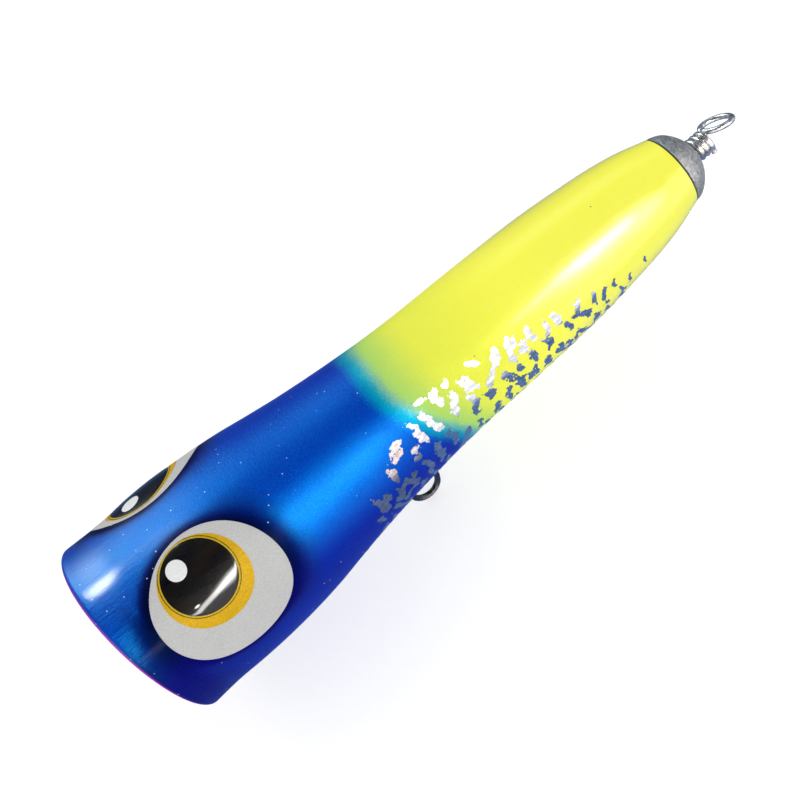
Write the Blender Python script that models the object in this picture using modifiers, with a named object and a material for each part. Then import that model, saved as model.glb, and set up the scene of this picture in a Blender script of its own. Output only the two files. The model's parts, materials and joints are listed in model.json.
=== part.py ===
"""Topwater popper: a turned wooden lure on a through wire, with a cast tail weight,
layered eye decals on both sides of the head and a belly swivel that swings and spins.

Lure coordinates run along the wire axis: x = 0 is the centre of the mouth lip, the tail
points to +X, the back is +Z and the lure's left flank is -Y. LURE_ORIGIN places them in
the world so that the world origin is the centre of the whole lure's bounding box.
"""

import math

import bmesh
import bpy
from mathutils import Vector

MM = 0.001

# Placement of the wire axis at the mouth lip.
LURE_ORIGIN = Vector((-88.9 * MM, 0.0, 6.25 * MM))

# Body: (distance behind the lip, radius) stations of the turning template.
BODY_STATIONS_MM = (
    (0, 23.8), (10, 23.4), (20, 23.5), (30, 23.05), (40, 22.05), (55, 19.55), (70, 17.7),
    (85, 16.45), (105, 15.85), (125, 15.05), (140, 13.55), (150, 12.1), (160, 9.35),
)
BODY_LENGTH = 160 * MM
BODY_SEGMENTS = 64
BODY_RING_STEP = 8 * MM
LIP_ROUND_AXIAL = 1.5 * MM
LIP_ROUND_RADIAL = 2.3 * MM
LIP_TILT = math.radians(7.1)        # the upper lip leads the lower one
LIP_TILT_REACH = 16 * MM            # the slant fades out this far behind the lip
CUP_RADIUS = 19.4 * MM
CUP_DEPTH = 14 * MM
LIP_ROUND_STEPS = 4
CUP_STEPS = 7

WELD_DISTANCE = 0.001 * MM          # points closer than this are one point
SHARP_ANGLE = math.radians(35)

# Through wire and its bore.
WIRE_RADIUS = 0.7 * MM
FIT_GAP = 0.3 * MM
BORE_RADIUS = WIRE_RADIUS + FIT_GAP

# Wrapped wire eyes. "Outward" is away from the body along the wire axis.
STRAND_OFFSET = 0.8 * MM            # the two strands lie side by side inside the coil
COIL_RADIUS = 2.45 * MM
COIL_PITCH = 1.43 * MM
COIL_TURNS = 2.44
COIL_START = 0.8 * MM
COIL_POINTS_PER_TURN = 16
COIL_ENTRY_ANGLE = math.radians(65)
COIL_ENTRY_RISE = 0.25              # share of the pitch taken up on the way into the coil
COIL_ENTRY_STEPS = 5
STRAND_SHARES = (0.3, 0.55, 0.75)   # points of the straight strands, as shares of LOOP_ROOT
LOOP_HALF_LENGTH = 3.75 * MM
LOOP_HALF_WIDTH = 3.5 * MM
LOOP_POINTS = 20
LOOP_ROOT = 5.4 * MM                # where the strands leave the coil
TAG_LENGTH = 0.9 * MM
TAG_FLARE = 0.8                     # the cut end stands off the coil by this share of its length
TAIL_EYE_TURN = math.radians(245)   # plane of the tail eye, from the back towards the left
TAIL_LEAN_TURN = math.radians(-50)  # the tail eye leans sideways, to the right of the back
TAIL_LEAN_START = 0.68 * LOOP_ROOT
TAIL_LEAN_AT_ROOT = 2.2 * MM
TAIL_LEAN_AT_TIP = 0.7 * MM
NOSE_COIL_GAP = 0.3 * MM            # keeps the nose coil off the bottom of the cup
WIRE_BEVEL_STEPS = 2

# Cast tail weight: visible cap and the spigot that sits in the body.
WEIGHT_FRONT = BODY_LENGTH + FIT_GAP
WEIGHT_END = 167.0 * MM
WEIGHT_RADIUS = 9.2 * MM
WEIGHT_NOSE_RADIUS = 3.1 * MM
SPIGOT_RADIUS = 4.5 * MM
SPIGOT_LENGTH = 12 * MM
WEIGHT_SHOULDER_STEPS = 7
WEIGHT_SHOULDER_POWER = 1.6         # 1 would be an ellipse; above 1 is leaner
WEIGHT_SEGMENTS = 40

# Belly swivel, hanging from the wire in a round hole.
SWIVEL_X = 70.6 * MM
BELLY_HOLE_RADIUS = 5.5 * MM
BELLY_HOLE_TOP = 4 * MM
BELLY_HOLE_BOTTOM = -30 * MM
BELLY_HOLE_SEGMENTS = 48
SWIVEL_WIRE_RADIUS = 0.8 * MM
EYE_HALF_WIDTH = 4.0 * MM
INNER_EYE_HALF_HEIGHT = 4.3 * MM
INNER_EYE_PLAY = 0.25 * MM
INNER_EYE_TOP = WIRE_RADIUS + SWIVEL_WIRE_RADIUS + INNER_EYE_PLAY
OUTER_EYE_HALF_HEIGHT = 4.9 * MM
OUTER_EYE_CENTRE = -30.6 * MM
SWIVEL_EYE_POINTS = 28
BARREL_TOP = -10.2 * MM
BARREL_BOTTOM = -22.2 * MM
BARREL_RADIUS = 3.75 * MM
BARREL_END_RADIUS = 2.6 * MM
BARREL_TAPER = 2.4 * MM
BARREL_SHOULDER_SHARE = 0.4         # where along the taper its roundest point lies
BARREL_SHOULDER_RADIUS = 3.375 * MM
BARREL_CAVITY_RADIUS = 2.6 * MM
BARREL_WALL_AT_END = 1.6 * MM
BARREL_SEGMENTS = 32
STEM_RADIUS = 1.0 * MM
STEM_HEAD_RADIUS = 2.2 * MM
STEM_HEAD_THICKNESS = 1.4 * MM
STEM_SEGMENTS = 20
STEM_HEAD_SEGMENTS = 28

# Eye decals: discs in wrapped coordinates (distance behind the lip, arc from the back).
DECAL_THICKNESS = 0.35 * MM
DECAL_GAP = 0.1 * MM
SOCKET_DEPTH = 1.4 * MM
SOCKET_MARGIN = 0.3 * MM
DECAL_GRID = 8
WHITE_CENTRE = (22.2 * MM, 21.2 * MM)
WHITE_HALF_AXES = (16.0 * MM, 15.1 * MM)
WHITE_TURN = math.radians(-45)
IRIS_CENTRE = (20.9 * MM, 17.1 * MM)
IRIS_RADIUS = 10.1 * MM
PUPIL_CENTRE = (20.5 * MM, 15.6 * MM)
PUPIL_RADIUS = 8.2 * MM
PUPIL_THICKNESS = 0.6 * MM
GLINT_CENTRE = (17.8 * MM, 11.6 * MM)
GLINT_RADIUS = 2.3 * MM
GLINT_THICKNESS = 0.3 * MM


def clear_scene():
    for obj in list(bpy.data.objects):
        bpy.data.objects.remove(obj, do_unlink=True)


def new_collection(name, hidden=False):
    collection = bpy.data.collections.new(name)
    bpy.context.scene.collection.children.link(collection)
    collection.hide_render = hidden
    return collection


def material(name, colour, roughness, metallic=0.0, coat=0.0):
    """A Principled material with an optional clear coat."""
    made = bpy.data.materials.new(name)
    made.use_nodes = True
    shader = made.node_tree.nodes["Principled BSDF"]
    shader.inputs["Base Color"].default_value = (*colour, 1.0)
    shader.inputs["Roughness"].default_value = roughness
    shader.inputs["Metallic"].default_value = metallic
    shader.inputs["Coat Weight"].default_value = coat
    return made


def add_object(name, data, collection, parent=None):
    obj = bpy.data.objects.new(name, data)
    collection.objects.link(obj)
    obj.parent = parent
    return obj


def add_empty(name, location, collection, parent=None):
    empty = add_object(name, None, collection, parent)
    empty.location = location
    empty.empty_display_size = 5 * MM
    return empty


def shade_round(obj):
    obj.data.shade_smooth()
    obj.data.set_sharp_from_angle(angle=SHARP_ANGLE)


def applied_mesh(obj):
    """The object's mesh with its modifiers applied and loose seams welded."""
    graph = bpy.context.evaluated_depsgraph_get()
    mesh = bpy.data.meshes.new_from_object(obj.evaluated_get(graph))
    work = bmesh.new()
    work.from_mesh(mesh)
    bmesh.ops.remove_doubles(work, verts=work.verts, dist=WELD_DISTANCE)
    bmesh.ops.recalc_face_normals(work, faces=work.faces)
    work.to_mesh(mesh)
    work.free()
    return mesh


def bake(obj):
    """Replaces a curve or a modified mesh by its final mesh, under the same name."""
    mesh = applied_mesh(obj)
    name, collection, parent = obj.name, obj.users_collection[0], obj.parent
    location, rotation = obj.location.copy(), obj.rotation_euler.copy()
    bpy.data.objects.remove(obj, do_unlink=True)
    baked = add_object(name, mesh, collection, parent)
    baked.location, baked.rotation_euler = location, rotation
    return baked


def turned(name, loop, axis, segments, collection, parent=None):
    """A ring-shaped solid: a closed profile loop of (along, radius) turned about the axis."""
    place = {"X": lambda a, r: (a, 0, r), "Z": lambda a, r: (r, 0, a)}[axis]
    mesh = bpy.data.meshes.new(name)
    count = len(loop)
    edges = [(i, (i + 1) % count) for i in range(count)]
    mesh.from_pydata([place(a, r) for a, r in loop], edges, [])
    obj = add_object(name, mesh, collection, parent)
    screw = obj.modifiers.new("Turn", "SCREW")
    screw.axis = axis
    screw.steps = screw.render_steps = segments
    screw.use_merge_vertices = True
    screw.merge_threshold = WELD_DISTANCE
    screw.use_normal_calculate = True
    return bake(obj)


def wire_mesh(name, points, radius, collection, parent=None, closed=False):
    """A round wire along a polyline, as a mesh."""
    curve = bpy.data.curves.new(name, "CURVE")
    curve.dimensions = "3D"
    curve.bevel_depth = radius
    curve.bevel_resolution = WIRE_BEVEL_STEPS
    curve.use_fill_caps = True
    spline = curve.splines.new("POLY")
    spline.points.add(len(points) - 1)
    for point, place in zip(spline.points, points):
        point.co = (*place, 1.0)
    spline.use_cyclic_u = closed
    return bake(add_object(name, curve, collection, parent))


def cylinder(name, radius, low, high, segments, collection, parent=None):
    """An upright cylinder between two heights, centred on its own origin's Z axis."""
    mesh = bpy.data.meshes.new(name)
    work = bmesh.new()
    bmesh.ops.create_cone(
        work, cap_ends=True, segments=segments, radius1=radius, radius2=radius, depth=high - low
    )
    bmesh.ops.translate(work, verts=work.verts, vec=(0, 0, (low + high) / 2))
    work.to_mesh(mesh)
    work.free()
    return add_object(name, mesh, collection, parent)


def as_cutter(obj):
    obj.hide_render = True
    obj.display_type = "WIRE"


def combine(obj, other, operation):
    """Adds or cuts with a Boolean, and keeps the other object as a hidden helper."""
    boolean = obj.modifiers.new(operation.title() + " " + other.name, "BOOLEAN")
    boolean.operation = operation
    boolean.solver = "EXACT"
    boolean.object = other
    as_cutter(other)


def body_radius(x):
    """Radius of the turned body: a Catmull-Rom curve through its stations."""
    stations = [(a * MM, r * MM) for a, r in BODY_STATIONS_MM]
    stations.insert(0, (2 * stations[0][0] - stations[1][0], stations[1][1]))
    stations.append((2 * stations[-1][0] - stations[-2][0], 2 * stations[-1][1] - stations[-2][1]))
    index = 1
    while index < len(stations) - 3 and x > stations[index + 1][0]:
        index += 1
    (x0, r0), (x1, r1), (x2, r2), (x3, r3) = stations[index - 1:index + 3]
    t = (x - x1) / (x2 - x1)
    slope1 = (r2 - r0) / (x2 - x0) * (x2 - x1)
    slope2 = (r3 - r1) / (x3 - x1) * (x2 - x1)
    return (
        (2 * t**3 - 3 * t**2 + 1) * r1 + (t**3 - 2 * t**2 + t) * slope1
        + (3 * t**2 - 2 * t**3) * r2 + (t**3 - t**2) * slope2
    )


def around(angle):
    """Unit vector square to the wire axis: 0 is the back, a quarter turn is the left flank."""
    return Vector((0, -math.sin(angle), math.cos(angle)))


def body_profile():
    """Closed loop: flank, rounded lip, flat lip, cup, wire bore and spigot pocket."""
    rings = round((BODY_LENGTH - LIP_ROUND_AXIAL) / BODY_RING_STEP)
    loop = []
    for i in range(rings + 1):
        x = BODY_LENGTH - (BODY_LENGTH - LIP_ROUND_AXIAL) * i / rings
        loop.append((x, body_radius(x)))
    lip_radius = body_radius(LIP_ROUND_AXIAL)
    for i in range(1, LIP_ROUND_STEPS + 1):
        turn = i / LIP_ROUND_STEPS * math.pi / 2
        radius = lip_radius - LIP_ROUND_RADIAL * (1 - math.cos(turn))
        loop.append((LIP_ROUND_AXIAL * (1 - math.sin(turn)), radius))
    for i in range(CUP_STEPS):
        turn = i / CUP_STEPS * math.pi / 2
        radius = CUP_RADIUS * math.cos(turn)
        loop.append((CUP_DEPTH * math.sin(turn), max(radius, BORE_RADIUS)))
    pocket = BODY_LENGTH - SPIGOT_LENGTH - FIT_GAP
    loop += [
        (CUP_DEPTH, BORE_RADIUS),
        (pocket, BORE_RADIUS),
        (pocket, SPIGOT_RADIUS + FIT_GAP),
        (BODY_LENGTH, SPIGOT_RADIUS + FIT_GAP),
    ]
    return loop


def slant_mouth(mesh):
    """Slants the lip, so that the upper lip leads, and fades the slant out behind it."""
    for vertex in mesh.vertices:
        fade = max(0.0, 1 - max(vertex.co.x, 0) / LIP_TILT_REACH)
        vertex.co.x -= vertex.co.z * math.tan(LIP_TILT) * fade


def wrapped_disc(name, centre, half_axes, turn, low, high, side, collection, parent):
    """A disc wrapped round the head, from one height above its surface to another.

    side is 1 on the lure's left and -1 on its right.
    """
    mesh = bpy.data.meshes.new(name)
    work = bmesh.new()
    bmesh.ops.create_grid(work, x_segments=DECAL_GRID, y_segments=DECAL_GRID, size=1)
    for vertex in work.verts:
        u, v = vertex.co.x, vertex.co.y
        flat = Vector((u * math.sqrt(1 - v * v / 2), v * math.sqrt(1 - u * u / 2)))
        along = flat.x * half_axes[0] * math.cos(turn) - flat.y * half_axes[1] * math.sin(turn)
        across = flat.x * half_axes[0] * math.sin(turn) + flat.y * half_axes[1] * math.cos(turn)
        x = centre[0] + along
        radius = body_radius(x)
        angle = side * (centre[1] + across) / radius
        vertex.co = Vector((x, 0, 0)) + around(angle) * (radius + low)
    bmesh.ops.recalc_face_normals(work, faces=work.faces)
    if sum(face.normal.dot(face.calc_center_median() * Vector((0, 1, 1))) for face in work.faces) < 0:
        bmesh.ops.reverse_faces(work, faces=work.faces)
    work.to_mesh(mesh)
    work.free()
    obj = add_object(name, mesh, collection, parent)
    solidify = obj.modifiers.new("Thickness", "SOLIDIFY")
    solidify.thickness = high - low
    solidify.offset = 1
    return obj


def make_body(parts, cutters, lure):
    body = turned("body", body_profile(), "X", BODY_SEGMENTS, parts, lure)
    slant_mouth(body.data)
    hole = cylinder(
        "belly_hole", BELLY_HOLE_RADIUS, BELLY_HOLE_BOTTOM, BELLY_HOLE_TOP,
        BELLY_HOLE_SEGMENTS, cutters, lure,
    )
    hole.location.x = SWIVEL_X
    combine(body, hole, "DIFFERENCE")
    half_axes = [half + SOCKET_MARGIN for half in WHITE_HALF_AXES]
    for side, flank in ((1, "left"), (-1, "right")):
        socket = wrapped_disc(
            "eye_socket_" + flank, WHITE_CENTRE, half_axes, WHITE_TURN,
            -SOCKET_DEPTH, SOCKET_DEPTH, side, cutters, lure,
        )
        combine(body, socket, "DIFFERENCE")
    body.data.materials.append(material("painted_wood", (0.0, 0.03, 0.40), 0.25, coat=1.0))
    shade_round(body)


def make_tail_weight(parts, lure):
    """Cast cap with a rounded shoulder, and its spigot inside the body."""
    loop = [(WEIGHT_FRONT, SPIGOT_RADIUS), (WEIGHT_FRONT, WEIGHT_RADIUS)]
    for i in range(1, WEIGHT_SHOULDER_STEPS + 1):
        turn = i / WEIGHT_SHOULDER_STEPS * math.pi / 2
        reach = math.sin(turn)
        drop = 1 - math.cos(turn) ** WEIGHT_SHOULDER_POWER
        x = WEIGHT_FRONT + (WEIGHT_END - WEIGHT_FRONT) * reach
        loop.append((x, WEIGHT_RADIUS - (WEIGHT_RADIUS - WEIGHT_NOSE_RADIUS) * drop))
    spigot_front = BODY_LENGTH - SPIGOT_LENGTH
    loop += [(WEIGHT_END, BORE_RADIUS), (spigot_front, BORE_RADIUS), (spigot_front, SPIGOT_RADIUS)]
    weight = turned("tail_weight", loop[::-1], "X", WEIGHT_SEGMENTS, parts, lure)
    weight.data.materials.append(material("cast_lead", (0.22, 0.22, 0.23), 0.6, metallic=0.8))
    shade_round(weight)


def wire_eye(mouth, outward, plane_angle, lean):
    """Points of a wrapped wire eye, from the bore's mouth to the wire's cut end.

    The strand leaves along the axis, makes the loop, comes back beside itself and is
    wrapped outward again around both strands. lean(s) is a sideways offset at distance s.
    """
    beside = around(plane_angle)

    def at(s, radial):
        return Vector((mouth + outward * s, 0, 0)) + radial + lean(s)

    root_angle = math.asin(STRAND_OFFSET / LOOP_HALF_WIDTH)
    loop_centre = LOOP_ROOT + LOOP_HALF_LENGTH * math.cos(root_angle)
    points = [at(0, Vector()), at(COIL_START, -beside * STRAND_OFFSET)]
    points += [at(LOOP_ROOT * share, -beside * STRAND_OFFSET) for share in STRAND_SHARES]
    sweep = math.pi - root_angle
    for i in range(LOOP_POINTS + 1):
        turn = -sweep + 2 * sweep * i / LOOP_POINTS
        s = loop_centre + LOOP_HALF_LENGTH * math.cos(turn)
        points.append(at(s, beside * LOOP_HALF_WIDTH * math.sin(turn)))
    points += [at(LOOP_ROOT * share, beside * STRAND_OFFSET) for share in STRAND_SHARES[::-1]]
    for i in range(COIL_ENTRY_STEPS):
        share = i / COIL_ENTRY_STEPS
        radius = STRAND_OFFSET + (COIL_RADIUS - STRAND_OFFSET) * math.sin(share * math.pi / 2)
        s = COIL_START + COIL_PITCH * COIL_ENTRY_RISE * (1 - share) ** 2
        points.append(at(s, around(plane_angle + COIL_ENTRY_ANGLE * share) * radius))
    steps = round(COIL_TURNS * COIL_POINTS_PER_TURN)
    for i in range(steps + 1):
        turn = 2 * math.pi * i / COIL_POINTS_PER_TURN
        angle = plane_angle + COIL_ENTRY_ANGLE + turn
        s = COIL_START + COIL_PITCH * turn / (2 * math.pi)
        points.append(Vector((mouth + outward * s, 0, 0)) + around(angle) * COIL_RADIUS)
    tangent = (points[-1] - points[-2]).normalized()
    points.append(points[-1] + tangent * TAG_LENGTH + around(angle) * TAG_LENGTH * TAG_FLARE)
    return points


def make_through_wire(parts, lure):
    """One wire: nose eye inside the cup, straight run through the body, tail eye."""
    sideways = around(TAIL_LEAN_TURN)

    def tail_lean(s):
        if s < TAIL_LEAN_START:
            return Vector()
        if s < LOOP_ROOT:
            share = (s - TAIL_LEAN_START) / (LOOP_ROOT - TAIL_LEAN_START)
            return sideways * TAIL_LEAN_AT_ROOT * share
        share = (s - LOOP_ROOT) / (2 * LOOP_HALF_LENGTH)
        return sideways * (TAIL_LEAN_AT_ROOT + (TAIL_LEAN_AT_TIP - TAIL_LEAN_AT_ROOT) * share)

    nose = wire_eye(CUP_DEPTH - NOSE_COIL_GAP, -1, 0.0, lambda s: Vector())
    tail = wire_eye(WEIGHT_END, 1, TAIL_EYE_TURN, tail_lean)
    wire = wire_mesh("through_wire", nose[::-1] + tail, WIRE_RADIUS, parts, lure)
    wire.data.materials.append(material("stainless_wire", (0.62, 0.60, 0.58), 0.18, metallic=1.0))
    shade_round(wire)


def swivel_eye(
    name, plane, centre, half_height, stem_low, stem_high, head_low, parts, cutters, pivot
):
    """An oval wire eye joined to a headed stem; plane is the horizontal axis it spans."""
    points = []
    for i in range(SWIVEL_EYE_POINTS):
        turn = 2 * math.pi * i / SWIVEL_EYE_POINTS
        across = EYE_HALF_WIDTH * math.sin(turn)
        height = centre + half_height * math.cos(turn)
        points.append((across, 0, height) if plane == "X" else (0, across, height))
    eye = wire_mesh(name, points, SWIVEL_WIRE_RADIUS, parts, pivot, closed=True)
    stem = cylinder(
        name + "_stem", STEM_RADIUS, stem_low, stem_high, STEM_SEGMENTS, cutters, pivot
    )
    head = cylinder(
        name + "_head", STEM_HEAD_RADIUS, head_low, head_low + STEM_HEAD_THICKNESS,
        STEM_HEAD_SEGMENTS, cutters, pivot,
    )
    combine(eye, stem, "UNION")
    combine(eye, head, "UNION")
    shade_round(eye)
    return eye


def make_swivel(parts, cutters, lure):
    """Barrel swivel: the inner eye hangs on the wire, the outer eye takes a hook's ring."""
    pivot = add_empty("swivel_pivot", (SWIVEL_X, 0, 0), parts, lure)
    nickel = material("black_nickel", (0.06, 0.055, 0.06), 0.15, metallic=1.0)

    inner_centre = INNER_EYE_TOP - INNER_EYE_HALF_HEIGHT
    inner_foot = inner_centre - INNER_EYE_HALF_HEIGHT
    inner_head = BARREL_TOP - BARREL_WALL_AT_END - FIT_GAP - STEM_HEAD_THICKNESS
    inner = swivel_eye(
        "swivel_inner_eye", "Y", inner_centre, INNER_EYE_HALF_HEIGHT,
        inner_head + STEM_HEAD_THICKNESS / 2, inner_foot, inner_head, parts, cutters, pivot,
    )
    outer_crown = OUTER_EYE_CENTRE + OUTER_EYE_HALF_HEIGHT
    outer_head = BARREL_BOTTOM + BARREL_WALL_AT_END + FIT_GAP
    outer = swivel_eye(
        "swivel_outer_eye", "X", OUTER_EYE_CENTRE, OUTER_EYE_HALF_HEIGHT,
        outer_crown, outer_head + STEM_HEAD_THICKNESS / 2, outer_head, parts, cutters, pivot,
    )
    hole = STEM_RADIUS + FIT_GAP
    loop = [
        (BARREL_TOP, BARREL_END_RADIUS),
        (BARREL_TOP - BARREL_SHOULDER_SHARE * BARREL_TAPER, BARREL_SHOULDER_RADIUS),
        (BARREL_TOP - BARREL_TAPER, BARREL_RADIUS),
        (BARREL_BOTTOM + BARREL_TAPER, BARREL_RADIUS),
        (BARREL_BOTTOM + BARREL_SHOULDER_SHARE * BARREL_TAPER, BARREL_SHOULDER_RADIUS),
        (BARREL_BOTTOM, BARREL_END_RADIUS),
        (BARREL_BOTTOM, hole),
        (BARREL_BOTTOM + BARREL_WALL_AT_END, hole),
        (BARREL_BOTTOM + BARREL_WALL_AT_END, BARREL_CAVITY_RADIUS),
        (BARREL_TOP - BARREL_WALL_AT_END, BARREL_CAVITY_RADIUS),
        (BARREL_TOP - BARREL_WALL_AT_END, hole),
        (BARREL_TOP, hole),
    ]
    barrel = turned("swivel_barrel", loop, "Z", BARREL_SEGMENTS, parts, pivot)
    shade_round(barrel)
    for piece in (inner, outer, barrel):
        piece.data.materials.append(nickel)


def make_eyes(parts, lure):
    """White, iris, pupil and glint, stacked outward in the socket on each side."""
    vinyl = material("white_vinyl", (0.80, 0.80, 0.82), 0.45, coat=0.6)
    amber = material("amber_foil", (0.80, 0.50, 0.02), 0.35, coat=0.8)
    black = material("black_enamel", (0.006, 0.006, 0.006), 0.08, coat=1.0)
    white = material("white_enamel", (0.9, 0.9, 0.9), 0.2, coat=1.0)
    layers = (
        ("white", WHITE_CENTRE, WHITE_HALF_AXES, WHITE_TURN, DECAL_THICKNESS, vinyl),
        ("iris", IRIS_CENTRE, (IRIS_RADIUS, IRIS_RADIUS), 0.0, DECAL_THICKNESS, amber),
        ("pupil", PUPIL_CENTRE, (PUPIL_RADIUS, PUPIL_RADIUS), 0.0, PUPIL_THICKNESS, black),
        ("glint", GLINT_CENTRE, (GLINT_RADIUS, GLINT_RADIUS), 0.0, GLINT_THICKNESS, white),
    )
    for side, flank in ((1, "left"), (-1, "right")):
        low = -SOCKET_DEPTH
        for layer, centre, half_axes, turn, thickness, finish in layers:
            low += DECAL_GAP
            disc = wrapped_disc(
                "eye_" + layer + "_" + flank, centre, half_axes, turn,
                low, low + thickness, side, parts, lure,
            )
            disc.data.materials.append(finish)
            shade_round(disc)
            low += thickness


def main():
    clear_scene()
    parts = new_collection("topwater_popper")
    cutters = new_collection("cutters", hidden=True)
    lure = add_empty("lure_axis", LURE_ORIGIN, parts)
    make_body(parts, cutters, lure)
    make_tail_weight(parts, lure)
    make_through_wire(parts, lure)
    make_swivel(parts, cutters, lure)
    make_eyes(parts, lure)


main()
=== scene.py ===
"""Looks of the topwater popper: fine surfaces, paint, foil, eyes, wire, light and camera."""

import json
import math
import random

import bmesh
import bpy
import numpy as np
from mathutils import Matrix, Vector, noise


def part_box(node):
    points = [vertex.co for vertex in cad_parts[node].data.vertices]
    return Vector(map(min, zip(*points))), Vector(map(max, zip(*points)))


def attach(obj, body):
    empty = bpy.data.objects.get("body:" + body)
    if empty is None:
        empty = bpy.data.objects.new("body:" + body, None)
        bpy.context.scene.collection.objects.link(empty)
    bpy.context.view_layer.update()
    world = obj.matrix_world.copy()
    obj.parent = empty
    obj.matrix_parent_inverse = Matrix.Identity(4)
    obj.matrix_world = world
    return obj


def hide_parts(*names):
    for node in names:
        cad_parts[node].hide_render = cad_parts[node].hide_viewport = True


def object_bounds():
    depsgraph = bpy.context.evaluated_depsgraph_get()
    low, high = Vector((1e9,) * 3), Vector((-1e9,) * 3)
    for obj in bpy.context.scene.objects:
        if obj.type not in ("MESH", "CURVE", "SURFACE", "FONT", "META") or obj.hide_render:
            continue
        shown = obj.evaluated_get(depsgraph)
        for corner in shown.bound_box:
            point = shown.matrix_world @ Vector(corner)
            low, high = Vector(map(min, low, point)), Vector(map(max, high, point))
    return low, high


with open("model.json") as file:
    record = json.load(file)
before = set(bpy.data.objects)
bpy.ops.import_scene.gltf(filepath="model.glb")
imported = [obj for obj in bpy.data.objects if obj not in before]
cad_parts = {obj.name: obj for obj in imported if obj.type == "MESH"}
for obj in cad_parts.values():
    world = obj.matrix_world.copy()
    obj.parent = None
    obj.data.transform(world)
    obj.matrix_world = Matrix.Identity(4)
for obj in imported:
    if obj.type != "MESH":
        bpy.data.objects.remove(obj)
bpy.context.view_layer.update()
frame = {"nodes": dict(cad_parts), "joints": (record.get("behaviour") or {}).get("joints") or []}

MM = 0.001

# ---------------------------------------------------------------- places read from the frame

BODY_LOW, BODY_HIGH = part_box("body")
WEIGHT_LOW, WEIGHT_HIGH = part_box("tail_weight")
BODY_LENGTH = 160 * MM
LIP_X = BODY_HIGH.x - BODY_LENGTH
AXIS_Z = (BODY_LOW.z + BODY_HIGH.z) / 2
LIP = Vector((LIP_X, 0, AXIS_Z))
SWIVEL_JOINT = next(j for j in frame["joints"] if j["name"] == "swivel_swing")
SWIVEL_PIVOT = Vector(SWIVEL_JOINT["pos_m"])

# ---------------------------------------------------------------- sizes

LIP_TILT = math.radians(7.1)
LIP_TILT_REACH = 16 * MM
LIP_ROUND_AXIAL = 1.5 * MM
LIP_ROUND_RADIAL = 2.3 * MM
LIP_ROUND_STEPS = 12
CUP_RADIUS = 19.4 * MM
CUP_DEPTH = 14 * MM
CUP_STEPS = 28
CUP_EDGE_WIDTH = 0.5 * MM
CUP_EDGE_DROP = 0.08 * MM
CUP_CENTRE_RADIUS = 1.2 * MM
BORE_RADIUS = 1.0 * MM
BORE_LEAD_IN = 0.4 * MM
FIT_GAP = 0.3 * MM
SPIGOT_LENGTH = 12 * MM
SPIGOT_RADIUS = 4.5 * MM
POCKET_RADIUS = SPIGOT_RADIUS + FIT_GAP
POCKET_DEPTH = SPIGOT_LENGTH + FIT_GAP
POCKET_FLOOR_CONE = 1.7 * MM
BELLY_HOLE_RADIUS = 5.5 * MM
BELLY_HOLE_TOP = 4 * MM
BELLY_HOLE_BOTTOM = -30 * MM
BELLY_HOLE_SEGMENTS = 96
BODY_SEGMENTS = 256
BODY_RING_STEP = 1.0 * MM

WIRE_RADIUS = 0.7 * MM

# Radii that tell the CAD body's outer skin from its cup and bores.
ABOVE_CUP = 20 * MM
ABOVE_POCKET = 6 * MM
NEAR = 0.01 * MM


# ---------------------------------------------------------------- the turned surface


def before_slant(x, z):
    """Distance behind the lip that a point had before the mouth was slanted."""
    if x >= LIP_TILT_REACH:
        return x
    rise = z * math.tan(LIP_TILT)
    return (x + rise) / (1 + rise / LIP_TILT_REACH)


def cad_stations():
    """(distance behind the lip, radius) of the CAD body's rings, read along its back."""
    stations = {}
    for vertex in frame["nodes"]["body"].data.vertices:
        x, y, z = vertex.co - LIP
        if abs(y) > NEAR or z < 0:
            continue
        unslanted = before_slant(x, z)
        on_flank = unslanted > LIP_ROUND_AXIAL - NEAR
        if on_flank and z > (ABOVE_CUP if unslanted < LIP_TILT_REACH else ABOVE_POCKET):
            stations[round(unslanted, 6)] = z
    return sorted(stations.items())


STATIONS = cad_stations()


def smooth_radius(x):
    """Catmull-Rom radius of the body at a distance behind the lip."""
    points = STATIONS
    x = min(max(x, points[0][0]), points[-1][0])
    index = 0
    while index < len(points) - 2 and x > points[index + 1][0]:
        index += 1
    x1, r1 = points[index]
    x2, r2 = points[index + 1]
    x0, r0 = points[index - 1] if index else (2 * x1 - x2, 2 * r1 - r2)
    x3, r3 = points[index + 2] if index + 2 < len(points) else (2 * x2 - x1, 2 * r2 - r1)
    t = (x - x1) / (x2 - x1)
    slope1 = (r2 - r0) / (x2 - x0) * (x2 - x1)
    slope2 = (r3 - r1) / (x3 - x1) * (x2 - x1)
    return (
        (2 * t**3 - 3 * t**2 + 1) * r1 + (t**3 - 2 * t**2 + t) * slope1
        + (3 * t**2 - 2 * t**3) * r2 + (t**3 - t**2) * slope2
    )


TABLE_STEP = 0.25 * MM
RADIUS_TABLE = [smooth_radius(i * TABLE_STEP) for i in range(int(BODY_LENGTH / TABLE_STEP) + 2)]


def body_radius(x):
    """Radius from the precomputed curve, by straight interpolation."""
    place = min(max(x / TABLE_STEP, 0), len(RADIUS_TABLE) - 1.001)
    index = int(place)
    share = place - index
    return RADIUS_TABLE[index] * (1 - share) + RADIUS_TABLE[index + 1] * share


def around(angle):
    """Unit vector square to the axis: 0 is the back, a quarter turn is the left flank."""
    return Vector((0, -math.sin(angle), math.cos(angle)))


def on_surface(x, arc, height):
    """Point above the painted surface, from a distance behind the lip and an arc from the back."""
    radius = body_radius(x)
    return LIP + Vector((x, 0, 0)) + around(arc / radius) * (radius + height)


# ---------------------------------------------------------------- mesh helpers


def add_mesh(name, mesh):
    obj = bpy.data.objects.new(name, mesh)
    bpy.context.scene.collection.objects.link(obj)
    return obj


def mesh_from(name, points, faces):
    mesh = bpy.data.meshes.new(name)
    mesh.from_pydata([tuple(p) for p in points], [], faces)
    mesh.validate()
    return mesh


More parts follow.
